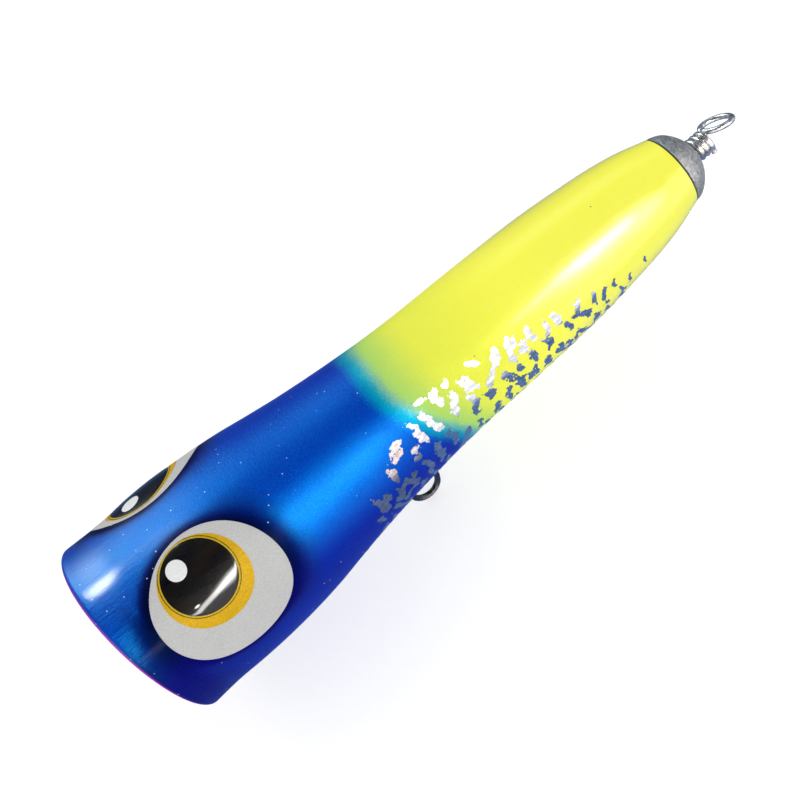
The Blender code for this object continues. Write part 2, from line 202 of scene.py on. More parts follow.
def facing_out(obj):
    work = bmesh.new()
    work.from_mesh(obj.data)
    bmesh.ops.recalc_face_normals(work, faces=work.faces)
    work.to_mesh(obj.data)
    work.free()
    return obj


def finished(obj, angle):
    """Applies the object's modifiers and shades it smooth."""
    graph = bpy.context.evaluated_depsgraph_get()
    mesh = bpy.data.meshes.new_from_object(obj.evaluated_get(graph))
    old = obj.data
    obj.modifiers.clear()
    obj.data = mesh
    bpy.data.meshes.remove(old)
    obj.data.shade_smooth()
    obj.data.set_sharp_from_angle(angle=math.radians(angle))
    return obj


def lathe(name, loop, segments, centre):
    """A solid turned about the X axis from a closed loop of (x, radius)."""
    points = []
    faces = []
    count = len(loop)
    for s in range(segments):
        direction = around(2 * math.pi * s / segments)
        points += [centre + Vector((x, 0, 0)) + direction * r for x, r in loop]
    for s in range(segments):
        here, after = s * count, (s + 1) % segments * count
        for i in range(count):
            j = (i + 1) % count
            faces.append((here + i, here + j, after + j, after + i))
    return facing_out(add_mesh(name, mesh_from(name, points, faces)))


def tube(name, points, radius, sides=20):
    """A round wire through points, with flat ends, turned along the path without twist."""
    count = len(points)
    tangent = (points[1] - points[0]).normalized()
    normal = tangent.orthogonal().normalized()
    verts = []
    for i, point in enumerate(points):
        ahead = (points[min(i + 1, count - 1)] - points[max(i - 1, 0)]).normalized()
        normal = (tangent.rotation_difference(ahead) @ normal).normalized()
        tangent = ahead
        beside = ahead.cross(normal).normalized()
        for k in range(sides):
            a = 2 * math.pi * k / sides
            verts.append(point + (normal * math.cos(a) + beside * math.sin(a)) * radius)
    faces = []
    for i in range(count - 1):
        here, there = i * sides, (i + 1) * sides
        for k in range(sides):
            l = (k + 1) % sides
            faces.append((here + k, here + l, there + l, there + k))
    faces.append(tuple(range(sides))[::-1])
    faces.append(tuple(range((count - 1) * sides, count * sides)))
    return facing_out(add_mesh(name, mesh_from(name, verts, faces)))


def smoothed(points, per_span):
    """A finer Catmull-Rom path through the same points."""
    path = []
    for i in range(len(points) - 1):
        p0, p1 = points[max(i - 1, 0)], points[i]
        p2, p3 = points[i + 1], points[min(i + 2, len(points) - 1)]
        for k in range(per_span):
            t = k / per_span
            path.append(
                0.5 * (2 * p1 + (p2 - p0) * t + (2 * p0 - 5 * p1 + 4 * p2 - p3) * t**2
                       + (3 * p1 - p0 - 3 * p2 + p3) * t**3)
            )
    path.append(points[-1])
    return path


# ---------------------------------------------------------------- material helpers


class Nodes:
    """Short forms for building a node tree. Inputs are sockets, numbers or colours."""

    def __init__(self, name, world=False):
        kind = bpy.data.worlds if world else bpy.data.materials
        self.material = kind.new(name)
        self.material.use_nodes = True
        self.tree = self.material.node_tree
        self.shader = self.tree.nodes["Background" if world else "Principled BSDF"]

    def put(self, socket, value):
        if isinstance(value, bpy.types.NodeSocket):
            self.tree.links.new(value, socket)
        elif isinstance(value, (tuple, list)) and len(value) == 3 and socket.type == "RGBA":
            socket.default_value = (*value, 1.0)
        else:
            socket.default_value = value

    def set(self, **values):
        for key, value in values.items():
            self.put(self.shader.inputs[key.replace("_", " ")], value)

    def node(self, kind, output=0, inputs=(), **settings):
        made = self.tree.nodes.new(kind)
        for key, value in settings.items():
            setattr(made, key, value)
        for key, value in dict(inputs).items():
            self.put(made.inputs[key], value)
        return made.outputs[output]

    def attribute(self, name):
        return self.node("ShaderNodeAttribute", output="Fac", attribute_name=name)

    def math(self, operation, a, b=0.0):
        return self.node("ShaderNodeMath", inputs={0: a, 1: b}, operation=operation)

    def times(self, a, b):
        return self.math("MULTIPLY", a, b)

    def without(self, mask):
        return self.math("SUBTRACT", 1.0, mask)

    def vector(self, operation, a, b, output="Vector"):
        """Vector arithmetic. SCALE takes its factor through a socket of its own."""
        second = "Scale" if operation == "SCALE" else 1
        return self.node("ShaderNodeVectorMath", output, {0: a, second: b}, operation=operation)

    def between(self, value, low, high, to_low=0.0, to_high=1.0):
        """Smooth step from to_low to to_high as value goes from low to high."""
        return self.node(
            "ShaderNodeMapRange", interpolation_type="SMOOTHSTEP", clamp=True,
            inputs={"Value": value, 1: low, 2: high, 3: to_low, 4: to_high},
        )

    def mix(self, factor, a, b, blend="MIX"):
        return self.node(
            "ShaderNodeMix", 2, {"Factor": factor, 6: a, 7: b}, data_type="RGBA", blend_type=blend
        )

    def millimetres(self):
        """Object coordinates in millimetres, so that texture scales are per millimetre."""
        place = self.node("ShaderNodeTexCoord", output="Object")
        return self.vector("SCALE", place, 1 / MM)

    def stretched(self, x, y, z):
        return self.vector("MULTIPLY", self.millimetres(), (x, y, z))

    def noise(self, vector, scale, detail=3.0, roughness=0.5, distortion=0.0):
        names = ("Vector", "Scale", "Detail", "Roughness", "Distortion")
        values = (vector, scale, detail, roughness, distortion)
        return self.node("ShaderNodeTexNoise", inputs=zip(names, values))

    def bump(self, height, distance_mm, strength):
        inputs = {"Height": height, "Distance": distance_mm * MM, "Strength": strength}
        return self.node("ShaderNodeBump", inputs=inputs)

    def specks(self, scale, share, size):
        """1 on small scattered dots: share is how many cells hold one."""
        cells = self.tree.nodes.new("ShaderNodeTexVoronoi")
        self.put(cells.inputs["Vector"], self.millimetres())
        self.put(cells.inputs["Scale"], scale)
        picked = self.node("ShaderNodeSeparateColor", inputs={0: cells.outputs["Color"]})
        chosen = self.math("GREATER_THAN", picked, 1 - share)
        near = self.between(cells.outputs["Distance"], size, size * 0.5)
        return self.times(chosen, near)


# ---------------------------------------------------------------- body


def body_loop():
    """Closed profile loop of the body in (x, radius) from the lip centre."""
    rings = round((BODY_LENGTH - LIP_ROUND_AXIAL) / BODY_RING_STEP)
    loop = []
    for i in range(rings + 1):
        x = BODY_LENGTH - (BODY_LENGTH - LIP_ROUND_AXIAL) * i / rings
        loop.append((x, body_radius(x)))
    lip_radius = body_radius(LIP_ROUND_AXIAL)
    for i in range(1, LIP_ROUND_STEPS + 1):
        turn = i / LIP_ROUND_STEPS * math.pi / 2
        loop.append((
            LIP_ROUND_AXIAL * (1 - math.sin(turn)),
            lip_radius - LIP_ROUND_RADIAL * (1 - math.cos(turn)),
        ))
    loop.append((0, CUP_RADIUS + CUP_EDGE_WIDTH))
    loop.append((CUP_EDGE_DROP, CUP_RADIUS + 0.3 * CUP_EDGE_WIDTH))
    for i in range(CUP_STEPS):
        turn = (0.3 + i) / CUP_STEPS * math.pi / 2
        radius = max(CUP_RADIUS * math.cos(turn), CUP_CENTRE_RADIUS)
        loop.append((CUP_DEPTH * math.sin(turn), radius))
    loop.append((CUP_DEPTH + BORE_LEAD_IN, BORE_RADIUS))
    loop.append((BODY_LENGTH - POCKET_DEPTH - POCKET_FLOOR_CONE, BORE_RADIUS))
    loop.append((BODY_LENGTH - POCKET_DEPTH, POCKET_RADIUS))
    loop.append((BODY_LENGTH, POCKET_RADIUS))
    return loop


def slant_mouth(mesh):
    for vertex in mesh.vertices:
        x = vertex.co.x - LIP_X
        fade = max(0.0, 1 - max(x, 0) / LIP_TILT_REACH)
        vertex.co.x -= (vertex.co.z - AXIS_Z) * math.tan(LIP_TILT) * fade


def paint_coordinates(obj):
    """Stores along, arc and depth in millimetres on each vertex, for the paint's layout."""
    mesh = obj.data
    values = {"along": [], "arc": [], "depth": []}
    for vertex in mesh.vertices:
        x, y, z = vertex.co - LIP
        x = before_slant(x, z)
        radius = body_radius(x)
        values["along"].append(x / MM)
        values["arc"].append(abs(math.atan2(y, z)) * radius / MM)
        values["depth"].append((radius - math.hypot(y, z)) / MM)
    for name, numbers in values.items():
        layer = mesh.attributes.new(name, "FLOAT", "POINT")
        layer.data.foreach_set("value", np.array(numbers, np.float32))


def cylinder_cutter(radius, low, high, x):
    """An upright cylinder through the wire's plane, for the belly hole."""
    mesh = bpy.data.meshes.new("cutter")
    work = bmesh.new()
    bmesh.ops.create_cone(
        work, cap_ends=True, segments=BELLY_HOLE_SEGMENTS, radius1=radius, radius2=radius,
        depth=high - low,
    )
    bmesh.ops.translate(work, verts=work.verts, vec=(x, 0, (low + high) / 2))
    work.to_mesh(mesh)
    work.free()
    return add_mesh("cutter", mesh)


def make_body():
    body = lathe("lure_body", body_loop(), BODY_SEGMENTS, LIP)
    slant_mouth(body.data)
    cutter = cylinder_cutter(
        BELLY_HOLE_RADIUS, AXIS_Z + BELLY_HOLE_BOTTOM, AXIS_Z + BELLY_HOLE_TOP, SWIVEL_PIVOT.x
    )
    cut = body.modifiers.new("Belly hole", "BOOLEAN")
    cut.operation = "DIFFERENCE"
    cut.solver = "EXACT"
    cut.object = cutter
    finished(body, angle=50)
    bpy.data.objects.remove(cutter, do_unlink=True)
    paint_coordinates(body)
    body.data.materials.clear()
    body.data.materials.append(Paint().material())
    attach(body, "lure")
    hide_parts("body")


# ---------------------------------------------------------------- paint

# Places in millimetres: behind the lip, in arc from the back, or in depth under the skin.
PAINT_JOINT = 75.2
PAINT_JOINT_DROP = 11.0
JOINT_DROP_ARCS = (7.0, 36.0)
CUP_SKIN = (1.7, 2.3)
SEAM = (159.75, 159.97)

NAVY = (0.0005, 0.0015, 0.03)
BLUES = ((0.0, 0.007, 0.32), (0.0, 0.021, 0.50))
# Painted shade: the blue darkens toward the belly, where less light falls.
BELLY_SHADE_BLUE = (0.001, 0.0, 0.15)
TEAL = (0.0, 0.32, 0.42)
GREEN = (0.38, 0.66, 0.14)
YELLOWS = ((0.76, 0.82, 0.07), (0.81, 0.84, 0.08))
TAIL_YELLOW = (0.97, 0.955, 0.085)
LIP_MAGENTA = (0.45, 0.01, 0.50)
CUP_PINK = (0.55, 0.012, 0.20)
BARE_WOOD = (0.30, 0.17, 0.08)
SEAM_SHADOW = (0.10, 0.10, 0.03)
LIGHT_SPECK = (0.75, 0.78, 0.75)
DARK_SPECK = (0.01, 0.02, 0.05)

PEARLS = ((0.0, 0.33, 0.80), (0.015, 0.64, 1.0))
STREAK_PEARL = (0.06, 0.75, 1.0)
# Painted shade: a darker pearl tint toward the belly dims the reflections there.
BELLY_SHADE_PEARL = (0.0, 0.16, 0.65)
WHITE = (1.0, 1.0, 1.0)
PLAIN_IOR, PEARL_IOR = 1.45, 2.4
COAT_IOR, TAIL_COAT_IOR = 1.5, 1.72
THIN_COAT = 0.02


class Paint:
    """Pearl blue head over fluorescent yellow, navy round the eye, painted shade underneath, and a
    clear coat.

    Masks run from 0 to 1, between two places in millimetres. `joint` is the distance
    behind the edge of the blue.
    """

    def __init__(self):
        m = self.m = Nodes("lure_paint")
        self.along = m.attribute("along")
        self.arc = m.attribute("arc")
        self.depth = m.attribute("depth")
        self.place = m.millimetres()
        self.grain = m.noise(self.place, 3.2, 4.0, 0.75)
        self.joint = self.behind_joint()
        self.halo = self.clear_of_eye()
        # Painted shade: marks the flanks turning under toward the belly.
        self.belly = m.between(self.arc, 22.0, 32.0)
        self.cup = m.times(
            m.between(self.depth, *CUP_SKIN), m.between(self.along, 15.0, 14.0)
        )
        self.hole = m.times(
            m.between(self.depth, 0.2, 0.5), m.between(self.along, 15.0, 16.0)
        )
        self.outside = m.times(m.without(self.cup), m.without(self.hole))
        self.pearl = m.between(self.joint, -1.0, 4.0, 1.0, 0.0)
        self.streaks = self.brush_streaks()

    def scatter(self, scale, detail, roughness, reach):
        """Noise centred on 0, reaching half as far to either side."""
        m = self.m
        cloud = m.noise(self.place, scale, detail, roughness)
        return m.times(m.math("SUBTRACT", cloud, 0.5), reach)

    def behind_joint(self):
        m = self.m
        drift = m.between(self.arc, *JOINT_DROP_ARCS, 0.0, PAINT_JOINT_DROP)
        wander = self.scatter(0.12, 4.0, 0.5, 2.2)
        mist = self.scatter(2.4, 2.0, 0.7, 3.0)
        behind = m.math("ADD", m.math("ADD", self.along, wander), mist)
        return m.math("SUBTRACT", m.math("SUBTRACT", behind, drift), PAINT_JOINT)

    def clear_of_eye(self):
        """0 beside the white of the eye, where the navy is darkest; lowered too under the lip as
        painted shade.
        """
        m = self.m
        dx = m.math("SUBTRACT", self.along, WHITE_CENTRE[0])
        da = m.math("SUBTRACT", self.arc, WHITE_CENTRE[1])
        squares = m.math("ADD", m.times(dx, dx), m.times(da, da))
        distance = m.math("DIVIDE", m.math("SQRT", squares), WHITE_HALF_AXES[1])
        reach = m.math(
            "MAXIMUM", m.between(self.along, 26.0, 40.0, 1.22, 1.60),
            m.between(self.along, 10.0, 5.0, 1.0, 1.42),
        )
        halo = m.between(distance, 0.98, reach)
        # Painted shade: the lower flank just behind the lip is pulled toward navy.
        under_lip_shade = m.times(
            m.between(self.along, 15.0, 6.0), m.between(self.arc, 12.0, 26.0)
        )
        return m.times(halo, m.without(m.times(under_lip_shade, 0.75)))

    def brush_streaks(self):
        m = self.m
        streaks = m.noise(m.stretched(0.16, 1.6, 1.6), 1.0, 4.0, 0.6, 0.4)
        return m.times(streaks, m.between(self.along, 22.0, 8.0, 0.25, 2.2))

    def head_colour(self):
        m = self.m
        blue = m.mix(m.between(self.grain, 0.35, 0.75), *BLUES)
        blue = m.mix(self.halo, NAVY, blue)
        # Painted shade: the blue darkens toward the belly, most near the lip.
        shade = m.times(self.belly, m.between(self.along, 4.0, 34.0, 0.85, 0.5))
        return m.mix(shade, blue, BELLY_SHADE_BLUE)

    def tail_colour(self):
        m = self.m
        yellow = m.mix(m.noise(self.place, 0.25, 2.0), *YELLOWS)
        return m.mix(m.between(self.along, 84.0, 118.0), yellow, TAIL_YELLOW)

    def colour(self):
        m = self.m
        colour = m.mix(m.between(self.joint, -5.0, -0.5), self.head_colour(), TEAL)
        colour = m.mix(m.between(self.joint, -1.5, 3.0), colour, GREEN)
        colour = m.mix(m.between(self.joint, 0.5, 13.0), colour, self.tail_colour())
        light_specks = m.times(m.specks(0.42, 0.80, 0.07), self.outside)
        for mask, over in (
            (m.between(self.along, 0.9, 0.5), LIP_MAGENTA),
            (self.cup, CUP_PINK),
            (self.hole, BARE_WOOD),
            (m.between(self.along, *SEAM), SEAM_SHADOW),
            (light_specks, LIGHT_SPECK),
            (m.specks(0.31, 0.45, 0.06), DARK_SPECK),
        ):
            colour = m.mix(mask, colour, over)
        return colour

    def relief(self):
        """Pearl grain and brush streaks under the coat."""
        m = self.m
        pebble = m.times(
            m.noise(self.place, 1.7, 3.0, 0.6), m.between(self.along, 20.0, 40.0, 0.4, 1.6)
        )
        rough = m.math("ADD", m.times(self.grain, 0.5), pebble)
        return m.bump(m.math("ADD", self.streaks, rough), 0.12, 0.6)

    def pearl_share(self):
        m = self.m
        share = m.times(m.times(self.pearl, self.halo), self.outside)
        return m.times(share, m.between(self.along, 58.0, 74.0, 1.0, 0.62))

    def pearl_colour(self):
        m = self.m
        flake = m.mix(m.between(self.grain, 0.3, 0.75), *PEARLS)
        flake = m.mix(m.between(self.streaks, 0.3, 2.0, 0.0, 0.5), flake, STREAK_PEARL)
        # Painted shade: the pearl tint darkens toward the belly.
        flake = m.mix(self.belly, flake, BELLY_SHADE_PEARL)
        return m.mix(self.pearl, WHITE, flake)

    def coat(self):
        """Weight, roughness and refraction: glossy on the lip and tail, thin between."""
        m = self.m
        head = m.times(m.between(self.along, 38.0, 24.0), m.between(self.arc, 15.0, 9.0))
        head = m.times(head, m.between(self.along, 10.5, 6.0, 0.22, 1.0))
        head = m.times(head, m.between(self.along, 1.0, 5.0, 0.35, 1.0))
        tail = m.times(
            m.between(self.along, 94.0, 126.0), m.between(self.arc, 1.0, 6.5, 0.55, 1.0)
        )
        gloss = m.math("MAXIMUM", m.math("MAXIMUM", head, tail), THIN_COAT)
        haze = m.math("ADD", m.between(self.along, 13.0, 9.0, 0.12, 0.0), 0.13)
        haze = m.math("SUBTRACT", haze, m.between(self.along, 94.0, 126.0, 0.0, 0.13))
        ior = m.math("ADD", COAT_IOR, m.times(tail, TAIL_COAT_IOR - COAT_IOR))
        return m.times(self.outside, gloss), haze, ior

    def material(self):
        m = self.m
        pearl_share = self.pearl_share()
        weight, haze, ior = self.coat()
        m.set(
            Base_Color=self.colour(), Metallic=0.0, Roughness=0.38, Normal=self.relief(),
            IOR=m.between(pearl_share, 0.0, 1.0, PLAIN_IOR, PEARL_IOR),
            Specular_IOR_Level=m.between(pearl_share, 0.0, 0.6, 0.06, 0.5),
            Specular_Tint=self.pearl_colour(),
            Coat_Weight=weight, Coat_Roughness=haze, Coat_IOR=ior,
            Coat_Normal=orange_peel(m, self.place),
        )
        return m.material


def orange_peel(m, place):
    """The clear coat's slight waviness."""
    return m.bump(m.noise(place, 0.35, 2.0), 0.05, 0.25)


# ---------------------------------------------------------------- eyes

# Decals in millimetres: (distance behind the lip, arc from the back).
WHITE_CENTRE = (21.9, 21.3)
WHITE_HALF_AXES = (15.7, 15.35)
WHITE_TURN = math.radians(-45)
IRIS_CENTRE = (20.9, 17.1)
IRIS_RADIUS = 10.1
PUPIL_CENTRE = (20.5, 15.6)
PUPIL_RADIUS = 8.2
PUPIL_CROWN = 0.2
PUPIL_LINE = 0.45
GLINT_CENTRE = (17.8, 11.6)
GLINT_RADIUS = 2.3

# Underside and top of each layer over the painted head, in millimetres.
WHITE_LAYER = (-0.25, 0.05)
IRIS_LAYER = (0.03, 0.10)
PUPIL_LAYER = (0.06, 0.16)
GLINT_LAYER = (0.10, 0.24)
UNDERSIDE_SHARES = (0.8, 8 / 15, 4 / 15, 0)

VINYLS = ((0.42, 0.42, 0.415), (0.56, 0.555, 0.55))
VINYL_CLOUD = (0.53, 0.53, 0.53)
VINYL_STAIN = (0.20, 0.10, 0.08)
AMBERS = ((0.48, 0.285, 0.0), (0.66, 0.385, 0.004))
AMBER_INNER = (0.52, 0.40, 0.01)
AMBER_LINE = (0.06, 0.035, 0.0)
# BLACKS: black, and a faintly brown black painted in for dim reflections in the pupil.
BLACKS = ((0.002, 0.002, 0.002), (0.010, 0.007, 0.005))
DUST = (0.4, 0.4, 0.4)
GLINT_WHITES = ((0.70, 0.70, 0.70), (0.82, 0.82, 0.81))


def dome(x, arc):
    """Height of the pupil's dome over the head, in millimetres."""
    reach = math.hypot(x - PUPIL_CENTRE[0], arc - PUPIL_CENTRE[1]) / PUPIL_RADIUS
    return PUPIL_CROWN * max(0.0, 1 - reach**2)


def decal(name, centre, half_axes, turn, layer, side, domed=False, rings=24, segments=128):
    """A disc wrapped round the head between a layer's two heights, in millimetres."""
    low, high = layer
    step = (high - low) * 0.3
    layers = [(i / rings, high) for i in range(rings)]
    layers += [(1.0, high - step), (1.0, low)]
    layers += [(share, low) for share in UNDERSIDE_SHARES]
    points = []
    faces = []

    def place(share, angle, height):
        u = share * half_axes[0] * math.cos(angle)
        v = share * half_axes[1] * math.sin(angle)
        x = centre[0] + u * math.cos(turn) - v * math.sin(turn)
        arc = centre[1] + u * math.sin(turn) + v * math.cos(turn)
        if domed:
            height += dome(x, arc)
        return on_surface(x * MM, side * arc * MM, height * MM)

    for share, height in layers:
        if share == 0:
            points.append(place(0, 0, height))
            continue
        for k in range(segments):
            points.append(place(share, 2 * math.pi * k / segments, height))
    for k in range(segments):
        faces.append((0, 1 + k, 1 + (k + 1) % segments))
    ring_count = sum(1 for share, _ in layers if share > 0)
    for i in range(ring_count - 1):
        here = 1 + i * segments
        there = here + segments
        for k in range(segments):
            l = (k + 1) % segments
            faces.append((here + k, there + k, there + l, here + l))
    last = 1 + (ring_count - 1) * segments
    for k in range(segments):
        faces.append((last + k, len(points) - 1, last + (k + 1) % segments))
    return finished(facing_out(add_mesh(name, mesh_from(name, points, faces))), angle=60)


def decal_coordinates(obj, centre):
    """Stores each vertex's distance in millimetres from a decal's centre."""
    values = []
    for vertex in obj.data.vertices:
        x, y, z = vertex.co - LIP
        arc = abs(math.atan2(y, z)) * body_radius(x)
        values.append(math.hypot(x / MM - centre[0], arc / MM - centre[1]))
    layer = obj.data.attributes.new("off_centre", "FLOAT", "POINT")
    layer.data.foreach_set("value", np.array(values, np.float32))


def vinyl_material():
    """Fine-grained off-white vinyl with rare stains."""
    m = Nodes("eye_vinyl")
    place = m.millimetres()
    grain = m.noise(place, 3.2, 4.0, 0.75)
    cloud = m.noise(place, 0.3, 2.0)
    colour = m.mix(m.between(grain, 0.3, 0.7), *VINYLS)
    colour = m.mix(m.between(cloud, 0.3, 0.7, 0.0, 0.25), colour, VINYL_CLOUD)
    colour = m.mix(m.specks(0.2, 0.12, 0.06), colour, VINYL_STAIN)
    m.set(
        Base_Color=colour, Roughness=0.62, Specular_IOR_Level=0.3,
        Normal=m.bump(grain, 0.03, 0.3),
    )
    return m.material


def iris_material():
    """Amber foil with a fine mottle and a thin dark, broken line round the pupil."""
    m = Nodes("eye_amber")
    place = m.millimetres()
    off = m.attribute("off_centre")
    mottle = m.noise(place, 2.6, 4.0, 0.7)
    colour = m.mix(m.between(mottle, 0.3, 0.7), *AMBERS)
    inner = m.between(off, PUPIL_RADIUS + 0.9, PUPIL_RADIUS + 0.1, 0.0, 0.55)
    colour = m.mix(inner, colour, AMBER_INNER)
    middle = PUPIL_RADIUS + PUPIL_LINE
    line = m.times(
        m.between(off, middle - 0.2, middle - 0.06), m.between(off, middle + 0.2, middle + 0.06)
    )
    dots = m.between(m.noise(place, 4.5, 1.0), 0.35, 0.5, 0.35, 1.0)
    colour = m.mix(m.times(line, dots), colour, AMBER_LINE)
    m.set(
        Base_Color=colour, Metallic=0.05, Roughness=0.5, Specular_IOR_Level=0.2,
        Normal=m.bump(mottle, 0.02, 0.3),
    )
    return m.material


def pupil_material():
    """Wet black with faint dust, a coat, and faint brownish streaks painted in as dim reflections.
    """
    m = Nodes("eye_black")
    place = m.millimetres()
    # Painted reflection: faint brownish streaks along the body in the black.
    haze = m.noise(m.stretched(0.2, 1.0, 1.0), 0.35, 3.0)
    colour = m.mix(m.between(haze, 0.35, 0.7), *BLACKS)
    colour = m.mix(m.specks(0.9, 0.12, 0.06), colour, DUST)
    m.set(
        Base_Color=colour, Roughness=0.35, Specular_IOR_Level=0.06,
        Coat_Weight=0.6, Coat_Roughness=0.03,
        Normal=m.bump(m.noise(place, 0.7, 2.0), 0.02, 0.2),
    )
    return m.material


def glint_material():
    m = Nodes("eye_glint_white")
    grain = m.noise(m.millimetres(), 3.0, 4.0, 0.7)
    colour = m.mix(m.between(grain, 0.3, 0.7), *GLINT_WHITES)
    m.set(Base_Color=colour, Roughness=0.5, Normal=m.bump(grain, 0.02, 0.3))
    return m.material


def make_eyes():
    vinyl, amber, black, white = (
        vinyl_material(), iris_material(), pupil_material(), glint_material()
    )
    for side, flank in ((1, "left"), (-1, "right")):
        pieces = (
            ("eye_white_", "white_vinyl", vinyl, decal(
                "white_of_eye_" + flank, WHITE_CENTRE, WHITE_HALF_AXES, WHITE_TURN,
                WHITE_LAYER, side)),
            ("eye_iris_", "amber_foil", amber, decal(
                "iris_" + flank, IRIS_CENTRE, (IRIS_RADIUS,) * 2, 0.0, IRIS_LAYER, side)),
            ("eye_pupil_", "black_enamel", black, decal(
                "pupil_" + flank, PUPIL_CENTRE, (PUPIL_RADIUS,) * 2, 0.0, PUPIL_LAYER, side,
                domed=True)),
            ("eye_glint_", "white_enamel", white, decal(
                "glint_" + flank, GLINT_CENTRE, (GLINT_RADIUS,) * 2, 0.0, GLINT_LAYER, side,
                domed=True, rings=8, segments=72)),
        )
        for node, slot, finish, obj in pieces:
            decal_coordinates(obj, PUPIL_CENTRE)
            obj.data.materials.append(finish)
            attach(obj, "lure")
            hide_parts(node + flank)


# ---------------------------------------------------------------- foil flakes

# In millimetres behind the lip and of arc from the back.
FOIL_CELL = 0.22
FOIL_FIRST, FOIL_LAST = 50.0, 146.0
FOIL_TOP = 12
FOIL_BLEED = 1.6
FOIL_HOLE_GAP = 1.2
FOIL_BELLY_GAP = 0.6
FOIL_REACH = 5.0
FOIL_PITCH = (4.0, 4.8)
FOIL_ROWS = 16
FOIL_HEIGHT = 0.03
FOIL_THICKNESS = 0.05
NO_FOIL = -9.0
FOIL_SILVERS = ((0.50, 0.50, 0.54), (0.86, 0.85, 0.86))
FOIL_OVER_BLUE = (0.86, 0.70, 0.64)
FOIL_EDGE = ((50, 40), (53, 35), (57, 27), (62, 22), (70, 18), (79, 13.5), (94, 13.5),
             (108, 15.5), (121, 18.5), (134, 22), (146, 23.5))
FOIL_LOWER_EDGE = ((52, 60), (118, 60), (126, 36), (136, 28), (146, 25))

# The left flank's upper rows: place behind the lip, top and foot in arc, width, lean. The first 36
# are read from the photo. The last 12 only fill the rows.
LEFT_ROWS = (
    (69.0, 17.4, 21.2, 2.6, -0.45), (65.3, 21.9, 25.9, 1.7, 0.1), (61.0, 25.8, 29.6, 1.6, 0.1),
    (75.1, 16.2, 22.4, 1.6, 0.30), (79.0, 15.7, 22.8, 1.5, 0.35), (80.0, 13.3, 13.9, 2.2, 0.0),
    (83.1, 13.0, 17.2, 1.7, -0.2), (86.4, 13.2, 14.5, 1.0, -0.3), (85.2, 16.4, 21.9, 2.0, -0.3),
    (90.2, 15.4, 19.4, 3.0, 0.2), (88.7, 19.6, 25.9, 1.9, -0.15), (94.0, 13.5, 15.4, 1.3, 1.0),
    (98.4, 14.8, 18.2, 2.0, -0.3), (95.2, 18.0, 21.8, 2.2, -1.1), (93.3, 22.2, 24.5, 2.1, 0.1),
    (103.4, 15.0, 17.6, 2.2, 0.0), (102.2, 17.4, 20.7, 1.6, -0.2), (105.4, 17.4, 20.8, 1.8, -0.1),
    (106.0, 21.0, 25.2, 1.4, -0.1), (108.4, 15.9, 19.6, 1.4, 0.1), (111.7, 17.0, 20.9, 1.3, -0.3),
    (110.4, 21.2, 25.0, 1.5, 0.2), (115.0, 17.2, 21.7, 1.4, 0.05), (116.6, 21.5, 25.2, 1.4, 0.1),
    (120.3, 18.5, 20.8, 1.5, -0.2), (121.0, 21.3, 25.0, 2.5, 0.5), (124.7, 19.6, 23.4, 0.7, 0.0),
    (127.6, 21.0, 25.8, 1.0, -0.2), (130.8, 20.8, 22.8, 0.6, -0.1), (132.0, 24.0, 27.2, 0.5, -0.2),
    (135.0, 22.4, 25.6, 0.45, -0.1), (140.2, 21.4, 24.2, 0.25, -0.3), (99.2, 21.1, 25.8, 2.2, 0.45),
    (102.4, 22.0, 24.2, 1.1, 0.2), (72.0, 21.4, 24.5, 2.0, -0.1), (76.5, 24.0, 28.8, 1.7, 0.0),
    (58.6, 25.6, 31.5, 1.3, 0.1), (68.6, 26.4, 31.0, 1.2, 0.0), (63.8, 27.5, 33.0, 1.3, -0.1),
    (73.0, 26.0, 31.2, 1.2, 0.15), (97.4, 25.2, 29.8, 1.0, 0.1), (101.0, 26.0, 30.4, 1.2, -0.1),
    (105.2, 25.8, 30.2, 1.0, 0.1), (109.0, 26.2, 30.6, 1.1, 0.0), (113.2, 25.6, 30.0, 1.0, 0.1),
    (117.6, 26.0, 30.2, 1.0, -0.1), (96.6, 15.4, 21.4, 1.1, -1.0), (81.0, 23.4, 28.0, 1.4, 0.1),
)
LEFT_ROWS_FOOT = 25.0


def read_line(line, x):
    """Straight interpolation along a short list of (x, value) corners."""
    for (x0, v0), (x1, v1) in zip(line, line[1:]):
        if x <= x1:
            return v0 + (v1 - v0) * max(0.0, (x - x0) / (x1 - x0))
    return line[-1][1]


def foil_rows(side):
    """Flakes as (place, top, foot, width, lean): rows of short strips that run round the body."""
    chance = random.Random(40 + side)
    rows = list(LEFT_ROWS) if side > 0 else []
    across, down = FOIL_PITCH
    for column in range(int((FOIL_LAST - FOIL_FIRST) / across) + 1):
        for row in range(FOIL_ROWS):
            x = FOIL_FIRST + (column + 0.5 * (row % 2)) * across + chance.uniform(-0.9, 0.9)
            top = FOIL_TOP + 0.5 + row * down + chance.uniform(-0.8, 0.8)
            length = chance.uniform(2.6, 5.2)
            width = chance.uniform(0.8, 1.8)
            lean = chance.uniform(-0.5, 0.5)
            if top < read_line(FOIL_EDGE, x) or top + length > read_line(FOIL_LOWER_EDGE, x):
                continue
            if side > 0 and top < LEFT_ROWS_FOOT + chance.uniform(-1, 1):
                continue
            rows.append((x, top, top + length, width, lean))
    return rows


